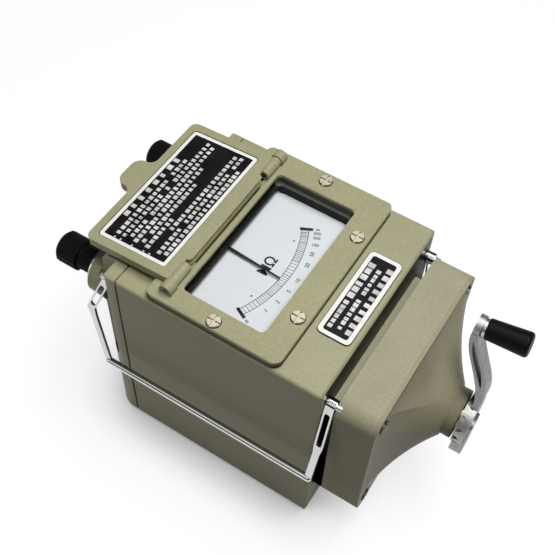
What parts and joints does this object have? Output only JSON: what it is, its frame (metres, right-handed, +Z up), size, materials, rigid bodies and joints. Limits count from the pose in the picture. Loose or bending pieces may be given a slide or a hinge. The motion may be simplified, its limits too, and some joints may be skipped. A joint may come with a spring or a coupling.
{
  "type": "hand-cranked insulation tester",
  "caption": "Portable insulation tester in a painted cast case: hinged scale lid, glazed meter, terminal knobs, swinging carry bails and an end crank geared to a generator.",
  "frame": {"origin": "middle of the overall length and width, from the knobs to the grip, at the underside of the feet", "axes": "+X along the case from the terminals to the crank, +Y to the back, +Z up"},
  "size_m": [0.245, 0.1386, 0.1529],
  "materials": {
    "olive_paint": "semi-gloss sprayed enamel with a fine orange peel",
    "foot_rubber": "matte",
    "black_metal": "satin black",
    "window_glass": "clear",
    "dial_white": "matte white enamel",
    "pointer_black": "matte black",
    "chrome_plate": "bright plated",
    "crank_alloy": "tumbled bright casting",
    "bakelite": "moulded gloss black",
    "steel": "turned",
    "brass": "turned",
    "cast_alloy": "as cast",
    "magnet": "ground",
    "copper_winding": "lacquered copper wire",
    "board": "lacquered laminate",
    "can_blue": "sleeved",
    "resistor_clay": "matte"
  },
  "bodies": {
    "case": {"main_case": "olive_paint", "end_cap": "olive_paint", "crank_housing": "olive_paint", "end_bell": "olive_paint", "bottom_cover": "olive_paint", "feet": "foot_rubber", "bezel": "olive_paint", "window_frame": "black_metal", "glass": "window_glass", "dial": "dial_white", "dial_support": "steel", "dial_pillars": "brass", "nameplate": "black_metal", "hinge_pin": "steel", "bail_pins": "steel", "terminal_rings": "chrome_plate", "terminal_bushes": "bakelite", "terminal_studs": "brass", "terminal_nuts": "brass", "crank_bush": "brass", "idler_post": "steel", "stator": "steel", "stator_coils": "copper_winding", "gen_bracket_right": "cast_alloy", "gen_bracket_left": "cast_alloy", "gen_bushes": "brass", "gen_tie_rods": "steel", "movement_frame": "brass", "meter_magnet": "magnet", "pole_pieces": "steel", "meter_core": "steel", "core_bridge": "brass", "circuit_board": "board", "capacitors": "can_blue", "resistors": "resistor_clay", "bezel_screws": "chrome_plate", "cap_screws": "steel", "cover_screws": "steel", "neck_screws": "steel", "bell_screws": "steel"},
    "lid": {"lid": "olive_paint", "lid_plate": "black_metal"},
    "front_bail": {"front_bail": "chrome_plate"},
    "rear_bail": {"rear_bail": "chrome_plate"},
    "knob_near": {"knob_near": "bakelite"},
    "knob_far": {"knob_far": "bakelite"},
    "crank": {"crank_arm": "crank_alloy", "crank_shaft": "steel", "crank_screw": "steel", "grip_pin": "steel", "drive_gear": "brass"},
    "grip": {"grip": "bakelite"},
    "idler": {"idler_wheel": "brass", "idler_pinion": "steel"},
    "rotor": {"rotor_shaft": "steel", "rotor_pinion": "steel", "rotor_magnet": "magnet"},
    "movement": {"moving_coils": "copper_winding", "pointer": "pointer_black"}
  },
  "joints": [
    {"name": "lid_hinge", "type": "hinge", "parent": "case", "child": "lid", "pos_m": [-0.04245, 0, 0.1474], "axis": [0, 1, 0], "range_deg": [0, 183.2]},
    {"name": "front_bail_swing", "type": "hinge", "parent": "case", "child": "front_bail", "pos_m": [-0.00945, -0.0525, 0.126], "axis": [-1, 0, 0], "range_deg": [0, 150]},
    {"name": "rear_bail_swing", "type": "hinge", "parent": "case", "child": "rear_bail", "pos_m": [-0.00945, 0.0525, 0.126], "axis": [1, 0, 0], "range_deg": [0, 150]},
    {"name": "near_knob_turn", "type": "hinge", "parent": "case", "child": "knob_near", "pos_m": [-0.10945, -0.041, 0.1125], "axis": [-1, 0, 0], "range_deg": [0, 720]},
    {"name": "far_knob_turn", "type": "hinge", "parent": "case", "child": "knob_far", "pos_m": [-0.10945, 0.041, 0.1125], "axis": [-1, 0, 0], "range_deg": [0, 720]},
    {"name": "crank_spin", "type": "hinge", "parent": "case", "child": "crank", "pos_m": [0.10655, 0, 0.085], "axis": [1, 0, 0], "continuous": true},
    {"name": "grip_spin", "type": "hinge", "parent": "crank", "child": "grip", "pos_m": [0.09595, 0.01566, 0.14344], "axis": [0.9925, 0.0315, 0.1177], "continuous": true},
    {"name": "idler_spin", "type": "hinge", "parent": "case", "child": "idler", "pos_m": [0.06555, 0.02537, 0.0655], "axis": [1, 0, 0], "continuous": true},
    {"name": "rotor_spin", "type": "hinge", "parent": "case", "child": "rotor", "pos_m": [0.03055, 0, 0.046], "axis": [1, 0, 0], "continuous": true},
    {"name": "pointer_turn", "type": "hinge", "parent": "case", "child": "movement", "pos_m": [-0.07245, -0.0042, 0.12], "axis": [0, 0, 1], "range_deg": [-23.5, 30.7]}
  ],
  "couplings": [
    {"joint": "idler_spin", "follows": "crank_spin", "ratio": -3},
    {"joint": "rotor_spin", "follows": "crank_spin", "ratio": 9}
  ]
}
